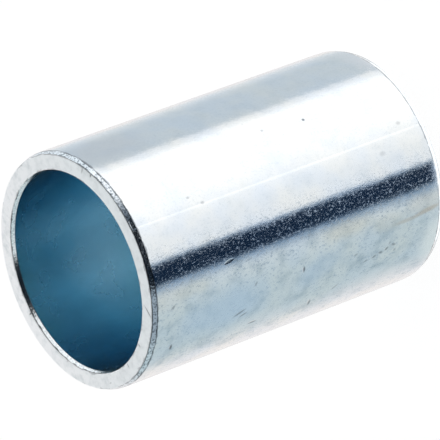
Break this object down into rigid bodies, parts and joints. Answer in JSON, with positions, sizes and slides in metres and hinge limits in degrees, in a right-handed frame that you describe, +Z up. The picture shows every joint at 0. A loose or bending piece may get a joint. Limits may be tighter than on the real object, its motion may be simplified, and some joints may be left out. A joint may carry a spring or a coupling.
{
  "type": "spacer sleeve",
  "caption": "Plain steel tube sleeve with a straight through bore and tapered end edges; slips over a bolt or pin and keeps parts a fixed distance apart.",
  "frame": {"origin": "centre of the lower end face, where the sleeve stands", "axes": "+Z up along the bore to the upper end face; X and Y are alike on a round part"},
  "size_m": [0.03, 0.03, 0.0455],
  "materials": {
    "zinc_plated_steel": "bright zinc plated, clear blue passivated, over drawn tube"
  },
  "bodies": {
    "root": {"sleeve": "zinc_plated_steel"}
  },
  "joints": []
}
